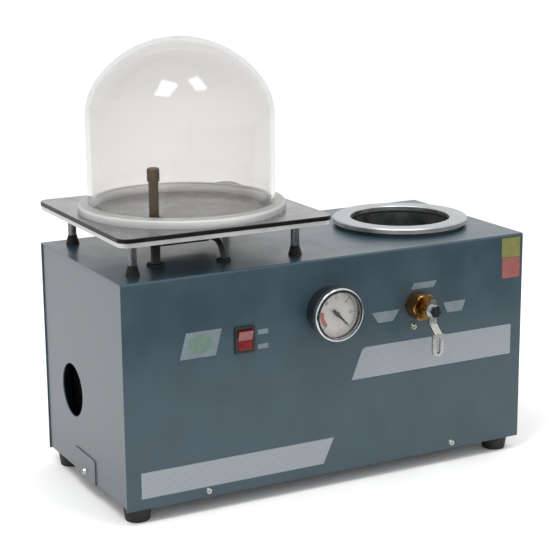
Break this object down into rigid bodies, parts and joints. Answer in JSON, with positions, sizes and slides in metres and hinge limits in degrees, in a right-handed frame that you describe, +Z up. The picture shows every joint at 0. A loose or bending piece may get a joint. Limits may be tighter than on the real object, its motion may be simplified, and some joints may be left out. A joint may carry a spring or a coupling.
{
  "type": "vacuum investing and casting machine",
  "caption": "Bench-top vacuum machine with a vibrating platform under a bell jar, a flask chamber, a gauge, a switch and a three-way valve.",
  "frame": {"origin": "middle of the footprint on the bench, under the rubber feet", "axes": "+X to the machine's right, -Y to its front, +Z up"},
  "size_m": [0.5354, 0.342, 0.526],
  "materials": {
    "case_paint": "semi-gloss powder coat, dark teal-grey",
    "tray_paint": "semi-gloss powder coat, dark teal-grey",
    "zinc_steel": "zinc-plated fasteners",
    "chrome_parts": "polished chrome",
    "black_rubber": "matte black rubber",
    "pad_rubber": "smooth dark grey rubber sheet",
    "plate_aluminium": "sawn and brushed sheet",
    "ring_aluminium": "turned, satin",
    "turned_steel": "turned steel",
    "chamber_steel": "drawn stainless steel, darkened inside",
    "brass_parts": "machined brass",
    "aged_brass": "tarnished brass",
    "jar_glass": "clear polished glass",
    "gauge_glass": "flat clear window",
    "black_enamel": "gloss black enamel",
    "dial_white": "white printed dial",
    "needle_black": "matte black",
    "black_plastic": "moulded black plastic",
    "rocker_red": "translucent red plastic",
    "cast_grey": "painted casting",
    "motor_paint": "grey enamel on cast aluminium",
    "electric_steel": "varnished steel laminations",
    "capacitor_shell": "drawn aluminium can",
    "label_silver": "printed aluminium foil labels",
    "fan_plastic": "moulded fan",
    "hose_rubber": "black vacuum hose"
  },
  "bodies": {
    "case": {"cover_wrap": "case_paint", "left_end_panel": "case_paint", "right_end_panel": "case_paint", "base_tray": "tray_paint", "case_screws": "chrome_parts", "rubber_feet": "black_rubber", "frame_bolts": "zinc_steel", "platform_isolators": "black_rubber", "platform_hose": "hose_rubber", "top_grommets": "black_rubber", "vibrator_cable": "hose_rubber", "flask_chamber": "chamber_steel", "chamber_gasket": "black_rubber", "chamber_ring": "ring_aluminium", "ring_screws": "zinc_steel", "gauge_case": "black_enamel", "gauge_bezel": "chrome_parts", "gauge_dial": "dial_white", "gauge_lens": "gauge_glass", "gauge_stem": "brass_parts", "switch_housing": "black_plastic", "switch_terminals": "brass_parts", "valve_body": "brass_parts", "valve_bonnet": "brass_parts", "hose_barbs": "brass_parts", "pump_base": "cast_grey", "motor_housing": "motor_paint", "motor_stator": "electric_steel", "fan_cover": "black_enamel", "oil_case": "cast_grey", "exhaust_silencer": "black_plastic", "capacitor": "capacitor_shell", "power_inlet": "black_plastic", "inlet_pins": "brass_parts", "chamber_line": "hose_rubber", "pump_line": "hose_rubber", "gauge_line": "hose_rubber", "front_labels": "label_silver"},
    "platform": {"platform_posts": "turned_steel", "plate_screws": "zinc_steel", "vibration_plate": "plate_aluminium", "rubber_pad": "pad_rubber", "suction_nozzle": "aged_brass", "nozzle_cap": "brass_parts", "nozzle_nut": "aged_brass", "vibrator_housing": "motor_paint", "vibrator_bracket": "turned_steel"},
    "vibrator_rotor": {"vibrator_shaft": "turned_steel", "eccentric_weights": "turned_steel"},
    "jar": {"bell_jar": "jar_glass"},
    "needle": {"gauge_needle": "needle_black"},
    "rocker": {"switch_rocker": "rocker_red"},
    "valve_handle": {"valve_ball": "brass_parts", "valve_lever": "chrome_parts", "lever_nut": "chrome_parts"},
    "pump_rotor_set": {"pump_shaft": "turned_steel", "cooling_fan": "fan_plastic", "motor_rotor": "electric_steel", "pump_rotor": "turned_steel", "pump_vanes": "fan_plastic"}
  },
  "joints": [
    {"name": "platform_bounce", "type": "slide", "parent": "case", "child": "platform", "axis": [0, 0, 1], "range_m": [-0.002, 0.0015], "stiffness_N_per_m": 60000, "springref_m": 0.0006, "deforming": ["platform_isolators", "platform_hose", "vibrator_cable"]},
    {"name": "jar_lift", "type": "slide", "parent": "platform", "child": "jar", "axis": [0, 0, 1], "range_m": [0, 0.26]},
    {"name": "vibrator_spin", "type": "hinge", "parent": "platform", "child": "vibrator_rotor", "pos_m": [-0.133, 0.002, 0.3], "axis": [1, 0, 0], "continuous": true},
    {"name": "valve_turn", "type": "hinge", "parent": "case", "child": "valve_handle", "pos_m": [0.112, -0.123, 0.208], "axis": [0, 1, 0], "range_deg": [-90, 90]},
    {"name": "rocker_press", "type": "hinge", "parent": "case", "child": "rocker", "pos_m": [-0.117, -0.1225, 0.197], "axis": [-1, 0, 0], "range_deg": [0, 16]},
    {"name": "needle_sweep", "type": "hinge", "parent": "case", "child": "needle", "pos_m": [-0.007, -0.14, 0.216], "axis": [0, -1, 0], "range_deg": [0, 270]},
    {"name": "pump_spin", "type": "hinge", "parent": "case", "child": "pump_rotor_set", "pos_m": [-0.1, 0.038, 0.116], "axis": [1, 0, 0], "continuous": true}
  ]
}
